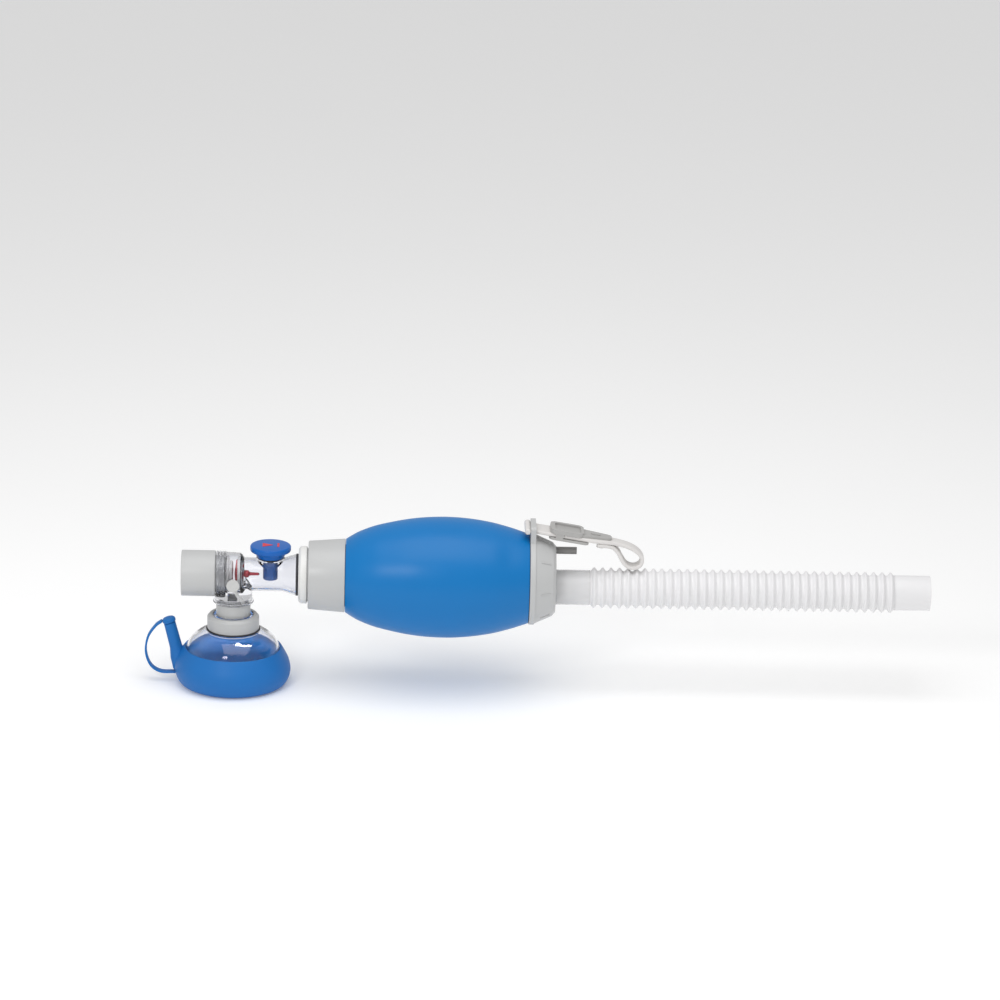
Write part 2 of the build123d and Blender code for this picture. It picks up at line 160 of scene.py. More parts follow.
def piece(name, points, wrap_rows=True):
    """A mesh from an array of rows and columns of points. Neighbouring rows and columns are joined by quads.
    The last column joins the first one, and so does the last row where the surface closes on itself."""
    rows, columns = points.shape[:2]
    index = np.arange(rows * columns).reshape(rows, columns)
    down = np.roll(index, -1, 0) if wrap_rows else index[1:]
    here = index if wrap_rows else index[:-1]
    quads = np.stack([here, np.roll(here, -1, 1), np.roll(down, -1, 1), down], -1)
    return solid(name, points.reshape(-1, 3), quads.reshape(-1, 4))


def solid(name, points, faces):
    """A mesh object at the origin, with doubled points merged and its faces pointing outwards."""
    mesh = bpy.data.meshes.new(name)
    mesh.from_pydata(points.tolist(), [], faces.tolist())
    work = bmesh.new()
    work.from_mesh(mesh)
    bmesh.ops.remove_doubles(work, verts=work.verts, dist=SAME_POINT)
    if work.calc_volume(signed=True) < 0:
        bmesh.ops.reverse_faces(work, faces=work.faces)
    work.to_mesh(mesh)
    work.free()
    mesh.shade_smooth()
    mesh.set_sharp_from_angle(angle=SHARP)
    obj = bpy.data.objects.new(name, mesh)
    bpy.context.scene.collection.objects.link(obj)
    return obj


def tell(*objects):
    """Prints the number of faces of each piece."""
    print({obj.name: len(obj.data.polygons) for obj in objects})


# %% Surfaces of revolution


def square_to(axis):
    """An axis at unit length, and two directions that are square to it and to each other."""
    axis = np.array(axis, float) / np.linalg.norm(axis)
    side = np.cross(axis, X if abs(axis[0]) < 0.9 else Z)
    side /= np.linalg.norm(side)
    return axis, side, np.cross(axis, side)


def turned(name, corners, origin, axis, around=128, closed=True, steps=5):
    """A surface of revolution: each profile point (a, r) goes to origin + a along the axis + r times the
    direction at each angle. Corners are in millimetres, and so is each corner's rounding."""
    profile = rounded(corners, steps, closed) * MM
    return turned_profile(name, profile, origin, axis, around, closed)


def turned_profile(name, profile, origin, axis, around=128, closed=True):
    """The same, for a profile that is already an array of (a, r) in metres."""
    axis, side, up = square_to(axis)
    angle = np.linspace(0, 2 * math.pi, around, endpoint=False)
    ring = np.cos(angle)[:, None] * side + np.sin(angle)[:, None] * up
    points = np.array(origin) + profile[:, 0, None, None] * axis + profile[:, 1, None, None] * ring
    return piece(name, points, wrap_rows=closed)


ORIGIN = (0, 0, 0)
MAIN = (0, 0, MAIN_Z)
TUBE = (0, 0, TUBE_Z)
KNOB = (KNOB_X, 0, 0)
print("axes start at", ORIGIN, MAIN, TUBE, KNOB)

# %% [markdown]
# All the hard fittings share one kind of finish: injection-moulded plastic with a very fine texture, slight
# cloudiness in its colour and small changes in gloss where it has been handled. Painted textures could show
# that too, but noise in object coordinates needs no unwrapping and has no seams. One function builds the
# finish. Values that are the same everywhere go straight on the shader, and only what varies comes from a
# node.

# %% How a finish is built
CLOUD_LOW, CLOUD_HIGH = 0.3, 0.7
GLOSS_CHANGE = 0.15
GRAIN_DEPTH = 0.0004


def finish(name, colour, rough, cloud=0.06, cloud_scale=35.0, grain=0.05, grain_scale=900.0, **shader):
    """A principled surface: noise in object coordinates moves the colour down and up by the share cloud,
    shifts the roughness by the gloss change and raises a fine grain. Keywords set the shader's sockets."""
    material = bpy.data.materials.new(name)
    material.use_nodes = True
    nodes, links = material.node_tree.nodes, material.node_tree.links
    surface = nodes["Principled BSDF"]
    coords = nodes.new("ShaderNodeTexCoord")
    soft = nodes.new("ShaderNodeTexNoise")
    soft.inputs["Scale"].default_value = cloud_scale
    soft.inputs["Detail"].default_value = 4
    links.new(coords.outputs["Object"], soft.inputs["Vector"])
    tint = nodes.new("ShaderNodeMix")
    tint.data_type = "RGBA"
    tint.inputs["A"].default_value = (*[c * (1 - cloud) for c in colour], 1)
    tint.inputs["B"].default_value = (*[min(1, c * (1 + cloud)) for c in colour], 1)
    links.new(soft.outputs["Fac"], tint.inputs["Factor"])
    links.new(tint.outputs["Result"], surface.inputs["Base Color"])
    gloss = nodes.new("ShaderNodeMapRange")
    gloss.inputs["From Min"].default_value = CLOUD_LOW
    gloss.inputs["From Max"].default_value = CLOUD_HIGH
    gloss.inputs["To Min"].default_value = rough * (1 - GLOSS_CHANGE)
    gloss.inputs["To Max"].default_value = rough * (1 + GLOSS_CHANGE)
    links.new(soft.outputs["Fac"], gloss.inputs["Value"])
    links.new(gloss.outputs["Result"], surface.inputs["Roughness"])
    if grain:
        fine = nodes.new("ShaderNodeTexNoise")
        fine.inputs["Scale"].default_value = grain_scale
        fine.inputs["Detail"].default_value = 2
        links.new(coords.outputs["Object"], fine.inputs["Vector"])
        bump = nodes.new("ShaderNodeBump")
        bump.inputs["Strength"].default_value = grain
        bump.inputs["Distance"].default_value = GRAIN_DEPTH
        links.new(fine.outputs["Fac"], bump.inputs["Height"])
        links.new(bump.outputs["Normal"], surface.inputs["Normal"])
    for socket, value in shader.items():
        surface.inputs[socket.replace("_", " ")].default_value = value
    return material


print("roughness moves by", GLOSS_CHANGE, "of its value, and the grain is", GRAIN_DEPTH, "m deep")

# %% [markdown]
# The hard fittings are greys that differ in depth and gloss, and the darkest grey is painted shade on the
# oxygen nipple, which sits in shadow. The clear pieces let light through with the refraction of their
# plastic. The milky tube only needs a little see-through colour, so a share of alpha is used there instead of
# refraction, which would make its ribs glitter.

# %% The finishes
GREY = finish("light grey plastic", (0.50, 0.505, 0.505), 0.38, grain=0.12)
# The darker grey on the oxygen nipple is painted shade: plain grey plastic darkened for the shadow it sits
# in.
PAINTED_SHADE_GREY = finish("grey plastic with painted shade", (0.27, 0.265, 0.26), 0.42, grain=0.12)
WHITE = finish("white plastic", (0.77, 0.77, 0.755), 0.30, cloud=0.04)
CLEAR = finish("clear plastic", (0.93, 0.935, 0.965), 0.035, cloud=0.015, grain=0.02, grain_scale=60.0,
               Transmission_Weight=1.0, IOR=1.42)
BAG_BLUE = finish("blue silicone", (0.001, 0.168, 0.475), 0.38, cloud=0.05, cloud_scale=22.0, grain=0.10,
                  grain_scale=1400.0, Specular_IOR_Level=0.30)
CUSHION_BLUE = finish("soft blue elastomer", (0.010, 0.150, 0.46), 0.50, grain=0.15, Specular_IOR_Level=0.30)
KNOB_BLUE = finish("blue knob plastic", (0.002, 0.110, 0.44), 0.34, grain=0.08, Specular_IOR_Level=0.35)
RED = finish("red silicone", (0.60, 0.02, 0.045), 0.35)
RED_PRINT = finish("red print", (0.62, 0.03, 0.055), 0.45, cloud=0.10, cloud_scale=500.0)
BLACK = finish("black rubber", (0.035, 0.035, 0.04), 0.55)
HAZY = finish("hazy silicone", (0.80, 0.80, 0.80), 0.30, Transmission_Weight=0.6, IOR=1.41)
TUBING = finish("milky tubing", (0.90, 0.895, 0.905), 0.40, cloud=0.02, grain=0.03, Alpha=0.86)
CUFFING = finish("hazy tubing", (0.88, 0.88, 0.89), 0.24, cloud=0.02, grain=0.02, Alpha=0.50)
PORT_GREY = finish("port cap plastic", (0.55, 0.55, 0.54), 0.30, cloud=0.04)
MID_GREY = finish("buckle plastic", (0.40, 0.395, 0.385), 0.36, grain=0.12)
STRAP = finish("strap rubber", (0.70, 0.68, 0.665), 0.50, grain=0.18)
STEEL = finish("spring wire", (0.62, 0.62, 0.63), 0.25, Metallic=1.0)
print("finishes:", [m.name for m in bpy.data.materials])

# %% How a piece gets its finish and its place in the frame


def dress(obj, material):
    """Makes a material the only one of an object."""
    obj.data.materials.clear()
    obj.data.materials.append(material)
    return obj


def place(obj, material, body, slot, *nodes):
    """Gives a new piece its finish and its body, and hides the CAD nodes that it stands for. The slot is not
    used.
    """
    dress(obj, material)
    if nodes:
        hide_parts(*nodes)
    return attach(obj, body)


print("CAD nodes in the frame:", len(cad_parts))

# %% [markdown]
# The exhaust side of the patient valve is a plain grey tube with a standard cone outside, held by a
# see-through ring with three thread-like ribs. Both are turned about the main axis. The ribs are corners of
# the ring's profile, since a rib that runs all the way round needs no mesh of its own.

# %% Expiratory cap and its ribbed ring
cap_corners = [(-34.0, 13.3, 0.5), (-34.0, 15.0, 0.6), (-12.6, 15.0, 0.3), (-11.8, 14.7, 0.3),
               (-11.8, 11.95, 0.2), (-5.2, 11.95, 0.4), (-5.2, 10.6, 0.3), (-13.2, 10.6, 0.6),
               (-13.2, 13.2, 0.8)]
cap = turned("expiratory_cap_shell", cap_corners, MAIN, X)
place(cap, GREY, "exhaust_cap", "light_grey_plastic", "expiratory_cap")

ring_corners = [(-11.2, 12.0, 0.2), (-11.2, 14.8, 0.25)]
for left in (-11.2, -9.3, -7.4):
    ring_corners += [(left + 1.1, 14.8, 0.25), (left + 1.3, 14.1, 0.15), (left + 1.65, 14.1, 0.15),
                     (left + 1.9, 14.8, 0.25)]
ring_corners += [(-5.0, 14.8, 0.2), (-5.0, 13.2, 0.1), (-4.8, 13.2, 0.05), (-4.8, 12.0, 0.2)]
ring = turned("ribbed_ring", ring_corners, MAIN, X)
place(ring, CLEAR, "valve", "clear_plastic", "valve_ring")
tell(cap, ring)

# %% [markdown]
# Inside the clear drum sit the pale exhaust seat and the red shutter. The shutter is one silicone umbrella:
# its thin disc bends shut against the exhaust nozzle when the bag is squeezed, and its tail, with a bead on
# it, is pulled through the hub of a spoked seat to hold it. Both pieces are round, so both are turned. The
# shutter's profile starts and ends on the axis, which closes it.

# %% Shutter and exhaust nozzle
shutter_corners = [(0.4, 0, 0), (0.4, 2.5, 0.6), (1.5, 9.3, 0.35), (2.4, 9.3, 0.3), (2.3, 8.8, 0.3),
                   (1.4, 2.5, 0.6), (1.4, 1.5, 0.3), (6.4, 1.5, 0.4), (7.3, 2.4, 0.6), (9.5, 2.4, 0.8),
                   (10.6, 1.1, 0.5), (16.4, 0.85, 0.4), (17.0, 0, 0)]
shutter = turned("red_shutter", shutter_corners, MAIN, X, around=96, closed=False)
place(shutter, RED, "shutter", "red_silicone", "shutter_valve")
nozzle_corners = [(-9.0, 7.2, 0.3), (-9.0, 8.6, 0.3), (-4.6, 8.6, 0.3), (-4.6, 12.0, 0.2), (-3.4, 12.0, 0.2),
                  (-3.4, 8.6, 0.4), (-0.9, 8.6, 0.5), (-0.9, 7.2, 0.5)]
nozzle = turned("exhaust_nozzle", nozzle_corners, MAIN, X, around=96)
place(nozzle, WHITE, "valve", "white_plastic", "exhaust_seat")
tell(shutter, nozzle)

# %% [markdown]
# The pressure limiter's knob is a blue mushroom: a flat top with rounded edges over a cone. Its stem passes
# through the housing and ends in a small disc. A fixed blue sleeve round it hides the spring, and shows
# through the clear barrel. Both are turned about the knob's own upright axis.

# %% Limiter knob and spring sleeve
knob_corners = [(95.0, 0, 0), (95.0, 13.3, 1.1), (91.2, 13.3, 1.1), (90.9, 10.6, 0.6), (87.0, 8.7, 0.4),
                (87.0, 1.6, 0.2), (73.6, 1.6, 0.2), (73.6, 3.6, 0.2), (72.6, 3.6, 0.2), (72.6, 0, 0)]
knob = turned("limiter_knob_cap", knob_corners, KNOB, Z, closed=False)
place(knob, KNOB_BLUE, "limiter", "knob_blue", "limiter_knob")
sleeve_corners = [(72.0, 3.9, 0.3), (72.0, 4.8, 0.4), (84.8, 4.8, 0.3), (84.8, 3.9, 0.2)]
sleeve = turned("spring_sleeve", sleeve_corners, KNOB, Z, around=64)
place(sleeve, KNOB_BLUE, "valve", "knob_blue", "limiter_sleeve")
tell(knob, sleeve)

# %% [markdown]
# The patient connector hangs from the housing's neck and turns in it. The mask's neck pushes over its outside
# cone. The light grey ring round the mask's neck has a chamfered top edge. All of them are turned about the
# upright axis through the origin, so they stay in line when the mask swivels.

# %% Connector, swivel ring and mask collar
connector_corners = [(38.5, 7.5, 0.4), (38.5, 11.2, 0.5), (57.2, 11.2, 0.2), (57.2, 9.95, 0.1),
                     (58.8, 9.95, 0.2), (58.8, 8.3, 0.2), (55.0, 8.3, 0.2), (55.0, 7.5, 0.2)]
connector = turned("connector_tube", connector_corners, ORIGIN, Z)
place(connector, GREY, "connector", "light_grey_plastic", "patient_connector")
swivel_corners = [(56.1, 11.25, 0.1), (56.1, 13.3, 0.35), (57.0, 13.3, 0.35), (57.0, 11.25, 0.1)]
swivel = turned("swivel_rim", swivel_corners, ORIGIN, Z)
place(swivel, CLEAR, "connector", "clear_silicone", "swivel_ring")
collar_corners = [(37.6, 13.45, 0.1), (37.6, 17.0, 0.9), (45.7, 17.0, 0.9), (47.4, 15.5, 0.8),
                  (47.4, 13.45, 0.3)]
collar = turned("mask_collar_ring", collar_corners, ORIGIN, Z)
place(collar, GREY, "mask", "light_grey_plastic", "mask_collar")
gasket_corners = [(37.0, 13.5, 0.1), (37.0, 17.8, 0.25), (37.55, 17.8, 0.25), (37.55, 13.5, 0.1)]
gasket = turned("collar_gasket_ring", gasket_corners, ORIGIN, Z)
place(gasket, BLACK, "mask", "black_rubber", "collar_gasket")
tell(connector, swivel, collar, gasket)

# %% [markdown]
# The mask's dome is one thin clear shell, blown out between its neck and its rim. Clear plastic bends light
# at both its surfaces, so a single skin would look wrong: a smooth curve through a few points gives the
# outside, and a second one, a wall's thickness further in, gives the inside.

# %% Mask dome
dome_out = smooth_curve([(36.5, 17.6), (35.1, 21.4), (32.4, 25.6), (28.6, 28.9), (24.4, 30.9)], 40)
dome_in = smooth_curve([(22.4, 29.4), (27.2, 27.3), (30.8, 24.0), (33.4, 20.2), (34.8, 16.6)], 40)
neck = rounded([(34.7, 11.25, 0.3), (47.3, 11.25, 0.4), (47.3, 13.4, 0.4), (36.8, 13.4, 0.4),
                (36.6, 15.5, 0)], closed=False)
rim = rounded([(23.9, 31.3, 0), (23.6, 32.5, 0.3), (22.4, 32.5, 0.3), (22.4, 31.0, 0)], closed=False)
dome_profile = np.concatenate([neck, dome_out, rim, dome_in]) * MM
dome = turned_profile("clear_dome", dome_profile, ORIGIN, Z, 160)
place(dome, CLEAR, "mask", "clear_plastic", "mask_dome")
tell(dome)

# %% [markdown]
# The air cushion is a puffed ring: flat where it stands, widest a little below half its height, and drawn in
# to a thin lip round the dome. Where the inflation stem leaves it, the wall swells out to meet the stem. It
# could be sculpted, but a formula keeps the foot exactly flat on the floor.

# %% Air cushion
cushion_section = [(26.2, 0.0), (31.0, 0.0), (34.9, 1.9), (37.2, 6.2), (37.75, 10.8), (36.6, 16.0),
                   (34.2, 20.8), (32.4, 23.9), (31.6, 24.9), (30.9, 24.7), (30.2, 23.0), (28.4, 21.6),
                   (24.2, 19.8), (20.9, 15.8), (20.0, 11.2), (20.9, 6.2), (23.2, 2.0)]
STEM_SIDE = math.pi
SWELL, SWELL_ANGLE, SWELL_MIDDLE, SWELL_HEIGHT = 0.0022, 0.15, 0.019, 0.006
OUTER_START, OUTER_WIDTH = 0.028, 0.006


def cushion_points(around=192, along=96):
    """The section's curve turned about Z. Near the stem's side the upper wall moves outwards by a bell curve
    in angle and height, and the flat foot stays at zero."""
    section = smooth_curve(cushion_section, along, closed=True) * MM
    section[:, 1] = np.maximum(section[:, 1], 0)
    angle = np.linspace(0, 2 * math.pi, around, endpoint=False)[:, None]
    r, z = section[:, 0][None, :], section[:, 1][None, :]
    away = np.angle(np.exp(1j * (angle - STEM_SIDE)))
    outer = np.clip((r - OUTER_START) / OUTER_WIDTH, 0, 1)
    bell = np.exp(-(away / SWELL_ANGLE) ** 2) * np.exp(-(((z - SWELL_MIDDLE) / SWELL_HEIGHT) ** 2))
    r = r + bell * outer * SWELL
    return np.stack([r * np.cos(angle), r * np.sin(angle), z + 0 * angle], -1)


cushion = piece("air_cushion", cushion_points())
place(cushion, CUSHION_BLUE, "mask", "cushion_blue", "mask_cushion")
print("cushion width", round(float(cushion.dimensions.x), 4))

# %% [markdown]
# The inflation stem is a soft tube that leans outwards and flares into the cushion. Its plug closes the top.
# Both are turned about the leaning axis, so that the plug slides straight out of the stem.

# %% Inflation stem and plug
STEM_FOOT, STEM_TOP = np.array((-33.4, 0, 9.2)) * MM, np.array((-41.6, 0, 40.7)) * MM
stem_axis = (STEM_TOP - STEM_FOOT) / np.linalg.norm(STEM_TOP - STEM_FOOT)
stem_length = float(np.linalg.norm(STEM_TOP - STEM_FOOT)) / MM
BORE_DEPTH = 10
stem_corners = [(0.5, 0, 0), (0.5, 5.6, 1.0), (9.0, 5.4, 6), (15.5, 4.1, 8), (stem_length, 3.85, 0.6),
                (stem_length, 2.4, 0.3), (stem_length - BORE_DEPTH, 2.4, 0), (stem_length - BORE_DEPTH, 0, 0)]
stem = turned("stem_tube", stem_corners, STEM_FOOT, stem_axis, around=64, closed=False, steps=8)
place(stem, CUSHION_BLUE, "mask", "cushion_blue", "inflation_stem")
plug_corners = [(-8.5, 0, 0), (-8.5, 2.3, 0.6), (0.3, 2.3, 0.2), (0.3, 4.35, 0.6), (2.3, 4.35, 0.5),
                (3.3, 3.6, 0.8), (3.5, 1.2, 0.3), (3.9, 0, 0)]
plug = turned("stem_plug", plug_corners, STEM_TOP, stem_axis, around=64, closed=False)
place(plug, CUSHION_BLUE, "air_plug", "cushion_blue", "inflation_plug")
tell(stem, plug)

# %% [markdown]
# A thin strap keeps the plug on the mask. It is a flat band along a curve: a rounded section is carried from
# point to point and turned with the curve. The strap crosses the joint between mask and plug.

# %% Bands along a curve
SECTION_HALF, ROUNDEST_EDGE = 10.0, 0.95


def ribbon(name, route, width, thick, bend=0.35, count=120, profile_steps=5, side=Y):
    """A band with rounded edges carried along a curve: at each point the section's width lies along the given
    side direction, made square to the curve, and its thickness is square to both. The section is drawn at a
    standard half width, and its edges then move in or out to the width wanted. That is one number, or a list
    of (x, width) that is followed from left to right. A route of (x, z) lies in the XZ plane."""
    path = smooth_curve([p if len(p) == 3 else (p[0], 0, p[1]) for p in route], count) * MM
    along = np.gradient(path, axis=0)
    along /= np.linalg.norm(along, axis=1)[:, None]
    broad = np.array(side, float) - (along @ np.array(side, float))[:, None] * along
    broad /= np.linalg.norm(broad, axis=1)[:, None]
    across = np.cross(along, broad)
    stations = np.array(width if isinstance(width, list) else [(0, width)], float)
    half = np.interp(path[:, 0] / MM, stations[:, 0], stations[:, 1])[:, None] / 2
    edge = min(bend, thick / 2 * ROUNDEST_EDGE)
    corners = np.array([(-1, -1), (1, -1), (1, 1), (-1, 1)]) * (SECTION_HALF, thick / 2)
    section = rounded([(across_band, up, edge) for across_band, up in corners], profile_steps)
    sideways = section[:, 0] + np.sign(section[:, 0]) * (half - SECTION_HALF)
    points = path[:, None] + sideways[..., None] * MM * broad[:, None]
    points = points + section[None, :, 1, None] * MM * across[:, None]
    ends = [np.broadcast_to(path[i], points[i].shape)[None] for i in (0, -1)]
    return piece(name, np.concatenate([ends[0], points, ends[1]]), wrap_rows=False)


tether_route = [(-46.6, 41.6), (-50.6, 38.4), (-55.4, 31.0), (-57.0, 21.0), (-54.0, 11.6), (-47.6, 7.0),
                (-37.4, 6.6)]
tether = ribbon("plug_strap", tether_route, 5.0, 1.3, bend=0.5)
dress(tether, CUSHION_BLUE)
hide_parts("plug_tether")
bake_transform(tether)
tell(tether)

# %% [markdown]
# The cap on the pressure port is held in the same way, by a thin strap that runs down to the housing's neck.

# %% Port cap's tether
port_route = [(1.4, -16.2, 68.3), (2.6, -15.9, 66.0), (4.6, -14.4, 62.6), (6.2, -12.9, 60.0),
              (6.7, -11.0, 58.0)]
port_strap = ribbon("port_strap", port_route, 2.4, 0.9, bend=0.3, count=48, side=(1, 0.3, 0.2))
dress(port_strap, HAZY)
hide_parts("port_tether")
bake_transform(port_strap)
tell(port_strap)

# %% [markdown]
# The limiter's spring is a round wire that climbs evenly as it turns. It is a mesh, though a curve with a
# bevel would look the same. The knob's foot pushes the lower end up, and the upper end rests under the
# housing's top.

# %% Limiter spring
SPRING_LOW, SPRING_HIGH, SPRING_TURNS, SPRING_R, WIRE_R = 74.0, 84.5, 7, 2.7, 0.35


def coil_points(steps=40, around=12):
    """The wire's middle is a helix. Each ring of points is square to it, and each end shrinks to a point."""
    share = np.linspace(0, 1, SPRING_TURNS * steps + 1)
    turn = 2 * math.pi * SPRING_TURNS * share
    outward = np.stack([np.cos(turn), np.sin(turn), 0 * turn], -1)
    path = SPRING_R * outward + (SPRING_LOW + (SPRING_HIGH - SPRING_LOW) * share)[:, None] * Z
    along = np.gradient(path, axis=0)
    along /= np.linalg.norm(along, axis=1)[:, None]
    upward = np.cross(along, outward)
    ring = np.linspace(0, 2 * math.pi, around, endpoint=False)[None, :, None]
    points = path[:, None] + WIRE_R * (np.cos(ring) * outward[:, None] + np.sin(ring) * upward[:, None])
    ends = [np.broadcast_to(path[i], points[i].shape)[None] for i in (0, -1)]
    return np.concatenate([ends[0], points, ends[1]]) * MM + KNOB_X * X


spring = piece("spring_coil", coil_points(), wrap_rows=False)
place(spring, STEEL, "valve", "spring_steel", "limiter_spring")
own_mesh(spring)
tell(spring)

# %% [markdown]
# The neck between valve and bag is a stack of turned rings: a dark seal in the clear cone, a pale ring with a
# chamfer, then the wide grey collar that grips the bag's mouth. The collar widens slightly towards the bag.

# %% Neck rings and collar
seal_corners = [(40.6, 12.95, 0.2), (40.6, 13.75, 0.3), (42.1, 13.75, 0.3), (42.1, 12.95, 0.2)]
seal = turned("neck_seal_ring", seal_corners, MAIN, X)
place(seal, BLACK, "valve", "black_rubber", "neck_seal")
neck_ring_corners = [(42.3, 14.0, 0.3), (42.3, 17.2, 0.5), (43.9, 18.8, 1.0), (47.9, 18.8, 0.7),
                     (47.9, 14.0, 0.2)]
neck_ring = turned("pale_neck_ring", neck_ring_corners, MAIN, X)
place(neck_ring, WHITE, "valve", "white_plastic", "neck_ring")
collar_skirt = [(47.9, 14.0, 0.1), (47.9, 17.5, 0.1), (48.6, 17.5, 0.1), (48.6, 22.3, 0.7), (72.6, 24.1, 0.5),
                (72.6, 20.6, 0.4), (51.0, 20.5, 0.5), (51.0, 14.0, 0.2)]
grip = turned("bag_collar", collar_skirt, MAIN, X, around=160)
place(grip, GREY, "valve", "light_grey_plastic", "neck_collar")
tell(seal, neck_ring, grip)

# %% [markdown]
# The bag is a single silicone moulding. Its barrel is one smooth curve from mouth to mouth, and it isn't
# perfectly even: two soft hollows lie near the rear mouth. A turned barrel alone would look machined, so the
# radius also changes a little with the angle.

# %% Squeeze bag
bag_barrel = [(72.9, 24.0), (76.5, 26.3), (82, 29.3), (91.5, 32.9), (101.5, 35.4), (111.5, 37.4), (121, 38.7),
              (131, 39.4), (141, 39.5), (151, 38.9), (160, 37.8), (170, 36.0), (180, 33.3), (187.5, 30.9),
              (192.3, 29.2)]
FRONT_END, FRONT_LIP, REAR_LIP, REAR_END = 53.6, 72.9, 192.3, 203.4
FRONT_MOUTH_R, REAR_MOUTH_R = 20.2, 22.7
WALL, TUNNEL_R = 2.2, 20.5
INSIDE_LENGTH = 0.9995
BELLY_MIDDLE, BELLY_LENGTH, OVAL = 133, 48, 0.12


def bag_points(around=224, along=120):
    """The barrel's curve with both mouths, turned about the main axis. The inner surface is one wall further
    in at the mouths and a plain tunnel between them. It is a hair shorter than the outside, so that no two
    rows fall together. Two shallow bell-shaped hollows lower the radius, measured along the bag and round it,
    and a cosine of twice the angle makes it oval."""
    barrel = smooth_curve(bag_barrel, along)
    front = rounded([(FRONT_END, FRONT_MOUTH_R, 0), (FRONT_LIP, FRONT_MOUTH_R, 0.4), (FRONT_LIP, 23.4, 0)],
                    closed=False)
    rear = rounded([(REAR_LIP, 28.6, 0), (REAR_LIP, REAR_MOUTH_R, 0.5), (REAR_END, REAR_MOUTH_R, 0)],
                   closed=False)
    outside = np.concatenate([front, barrel, rear])
    inside = outside - (0, WALL)
    inside[:, 1] = np.minimum(inside[:, 1], TUNNEL_R)
    inside[:, 0] = FRONT_END + (inside[:, 0] - FRONT_END) * INSIDE_LENGTH
    x, r = np.concatenate([outside, inside[::-1]]).T[:, :, None]
    angle = np.linspace(0, 2 * math.pi, around, endpoint=False)[None, :]
    belly = np.exp(-(((x - BELLY_MIDDLE) / BELLY_LENGTH) ** 4))

    def hollow(at_x, at_angle, long, wide, deep):
        turn = np.angle(np.exp(1j * (angle - at_angle)))
        return deep * np.exp(-(((x - at_x) / long) ** 2) - (turn / wide) ** 2)

    r = r - hollow(at_x=179, at_angle=0.75, long=7, wide=0.32, deep=0.7)
    r = r - hollow(at_x=172, at_angle=2.6, long=10, wide=0.5, deep=0.4)
    r = r + belly * OVAL * np.cos(2 * angle + 0.4)
    return np.stack([x + 0 * angle, -r * np.cos(angle), MAIN_Z / MM + r * np.sin(angle)], -1) * MM


bag = piece("silicone_bag", bag_points())
dress(bag, BAG_BLUE)
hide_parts("squeeze_bag")
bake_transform(bag)
tell(bag)

# %% [markdown]
# The corrugated tube is blow-moulded, so its ribs are rounded waves, not sharp folds. An array of copied
# rings would leave seams, so all the ribs are one turned profile. Its wave is a cosine whose crests are made
# narrower than its valleys, and the wall is thin and milky. A plain cuff is turned on to each end.

# %% Reservoir tube
RIBS, RIBS_START, RIBS_END = 36, 232.4, 432.0
TUBE_VALLEY_R, RIB_HEIGHT, RIB_POWER, TUBE_WALL = 11.1, 2.3, 1.3, 0.5
CUFF_R, CUFF_BORE_R, CUFF_START, TUBE_END = 11.5, 11.0, 210.4, 455.1
CUFF_LIP_R = 10.95


def tube_profile(per_rib=12):
    """Radius against length: a raised cosine to the rib power, from the valley's radius to the crest's."""
    x = np.linspace(RIBS_START, RIBS_END, RIBS * per_rib + 1)
    turns = RIBS * (x - RIBS_START) / (RIBS_END - RIBS_START)
    wave = (0.5 - 0.5 * np.cos(2 * math.pi * turns)) ** RIB_POWER
    outside = np.stack([x, TUBE_VALLEY_R + RIB_HEIGHT * wave], -1)
    inside = outside - (0, TUBE_WALL)
    return np.concatenate([outside, inside[::-1]]) * MM


hose = turned_profile("corrugated_hose", tube_profile(), TUBE, X, 96)
place(hose, TUBING, "reservoir", "tube_plastic", "reservoir_tube")
cuff_corners = [(CUFF_START, CUFF_LIP_R, 0.2), (CUFF_START, CUFF_R, 0.25), (RIBS_START, CUFF_R, 0),
                (RIBS_START, CUFF_BORE_R, 0)]
cuff = turned("inlet_cuff", cuff_corners, TUBE, X, 96)
place(cuff, CUFFING, "reservoir", "tube_plastic", "tube_cuff_inlet")
end_corners = [(RIBS_END, CUFF_BORE_R, 0), (RIBS_END, CUFF_R, 0), (TUBE_END, CUFF_R, 0.35),
               (TUBE_END, CUFF_BORE_R, 0.15)]
end_cuff = turned("open_cuff", end_corners, TUBE, X, 96)
place(end_cuff, TUBING, "reservoir", "tube_plastic", "tube_cuff_open")
tell(hose, cuff, end_cuff)

# %% [markdown]
# The strap is a soft band with a T-shaped stop behind the lug. Past the buckle it turns back on itself in a
# loop for one finger, and a stud pins the folded end. The same band function makes it, with a width that
# narrows where the loop begins.

# %% Strap
STRAP_PIVOT = (0.1909, 0, 0.1104)
strap_route = [(191.4, 110.3), (200, 108.95), (215, 106.6), (230, 104.25), (240, 102.7), (249.5, 101.0),
               (257.0, 98.8), (262.8, 95.4), (265.9, 91.0), (264.8, 86.6), (260.4, 84.7), (255.8, 86.2),
               (252.6, 90.4), (249.8, 95.4), (246.4, 98.6), (241.2, 100.0), (236.4, 100.6)]
band = ribbon("strap_with_loop", strap_route, [(235, 16.0), (247, 10.0)], 2.4, bend=0.8, count=220)
place(band, STRAP, "strap", "strap_rubber", "strap_band")
stop_corners = [(-10.5, 0, 0), (-10.5, 2.0, 0.8), (10.5, 2.0, 0.8), (10.5, 0, 0)]
stop = turned("strap_stop", stop_corners, STRAP_PIVOT, Y, around=48, closed=False)
place(stop, STRAP, "strap", "strap_rubber")
tell(band, stop)

# %% [markdown]
# Pieces whose CAD shape is already right keep it and only take a finish: the housing, the inlet fittings, the
# buckle and the small parts inside. Modelling them again would only risk a mismatch with the frame.

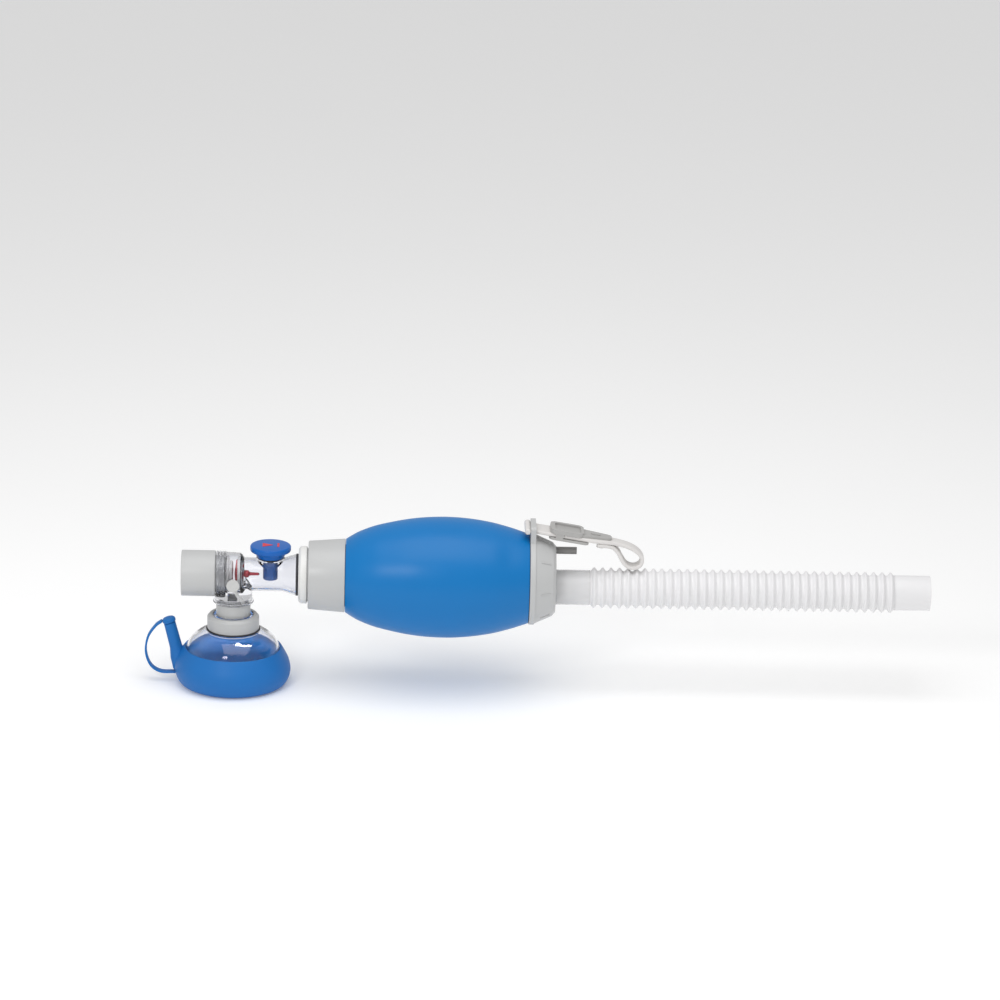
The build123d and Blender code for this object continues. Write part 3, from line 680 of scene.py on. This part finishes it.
# %% Finishes on the CAD pieces
CAD_FINISHES = (
    (CLEAR, ["valve_housing"]),
    (GREY, ["neck_insert", "strap_ring", "inlet_collar", "inlet_insert"]),
    (MID_GREY, ["strap_buckle", "buckle_plate"]),
    (WHITE, ["shutter_seat", "inlet_seat"]),
    (PORT_GREY, ["port_cap"]),
    # The oxygen nipple takes the grey with painted shade.
    (PAINTED_SHADE_GREY, ["oxygen_nipple"]),
    (BLACK, ["swivel_seal", "limiter_seal"]),
    (HAZY, ["inlet_flap"]),
    (RED_PRINT, ["knob_pointer"]),
    (STRAP, ["strap_stud"]),
)
for material, names in CAD_FINISHES:
    for name in names:
        dress(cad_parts[name], material)
    print(material.name, "on", names)

# %% [markdown]
# The object stands on a plain pale floor under a bright, even sky, with one large softbox above and one round
# lamp in front. Another round lamp overhead lights only the clear dome, which reflects it as a bright spot. A
# collection of receivers keeps that lamp off every other piece.

# %% Light


def softbox(name, spot, aim, size, power, shape="RECTANGLE"):
    """An area lamp at a spot, turned to face its aim."""
    light = bpy.data.lights.new(name, "AREA")
    light.shape, light.size, light.size_y, light.energy = shape, size, size, power
    lamp = bpy.data.objects.new(name, light)
    lamp.location = spot
    lamp.rotation_euler = (Vector(aim) - Vector(spot)).to_track_quat("-Z", "Y").to_euler()
    bpy.context.scene.collection.objects.link(lamp)
    return lamp


SKY_STRENGTH = 0.58
world = bpy.data.worlds.new("pale room")
world.use_nodes = True
world.node_tree.nodes["Background"].inputs["Color"].default_value = (1, 1, 1, 1)
world.node_tree.nodes["Background"].inputs["Strength"].default_value = SKY_STRENGTH
bpy.context.scene.world = world
softbox("top softbox", (0.15, -0.25, 1.1), (0.15, 0, 0.08), size=1.0, power=6.0)
softbox("front lamp", (-0.35, -1.0, 0.7), (0.05, 0, 0.05), size=0.28, power=2.8, shape="DISK")

catch = softbox("catch light", (0.27, 0.25, 1.0), (0, 0, 0.035), size=0.62, power=22.0, shape="DISK")
catch.light_linking.receiver_collection = bpy.data.collections.new("catch light receivers")
catch.light_linking.receiver_collection.objects.link(dome)
print("lamps:", [light.name for light in bpy.data.lights])

# %% Floor
FLOOR_SIZE, FLOOR_MIDDLE = 8, (0.17, 0, 0)
bpy.ops.mesh.primitive_plane_add(size=FLOOR_SIZE, location=FLOOR_MIDDLE)
floor = bpy.context.object
floor.name = "floor"
dress(floor, finish("pale floor", (0.93, 0.93, 0.93), 0.7, cloud=0.003, cloud_scale=2.0, grain=0,
                    Emission_Color=(1, 1, 1, 1), Emission_Strength=0.12))
print("floor", FLOOR_SIZE, "m wide")

# %% [markdown]
# The camera stands far off with a long lens, so the object keeps nearly parallel sides. It looks slightly
# down and is rolled a little. The lens follows from the width that it has to see at the object's distance.

# %% Camera
LOOK_AT = Vector((0.1724, 0, 0.1286))
DISTANCE, ELEVATION, AZIMUTH, ROLL = 3.3, 18.0, -1.5, 1.47
WIDTH_SEEN, SENSOR, FARTHEST = 0.6495, 36.0, 50
lens = bpy.data.cameras.new("camera")
lens.sensor_width = SENSOR
lens.lens = SENSOR * DISTANCE / WIDTH_SEEN
lens.clip_end = FARTHEST
camera = bpy.data.objects.new("camera", lens)
a, e = math.radians(AZIMUTH), math.radians(ELEVATION)
back = Vector((math.sin(a) * math.cos(e), -math.cos(a) * math.cos(e), math.sin(e)))
camera.location = LOOK_AT + back * DISTANCE
camera.rotation_mode = "QUATERNION"
camera.rotation_quaternion = Quaternion(back, math.radians(ROLL)) @ (-back).to_track_quat("-Z", "Y")
bpy.context.scene.collection.objects.link(camera)
bpy.context.scene.camera = camera
bpy.context.scene.view_settings.view_transform = "Standard"
print("lens", round(lens.lens, 1), "mm")
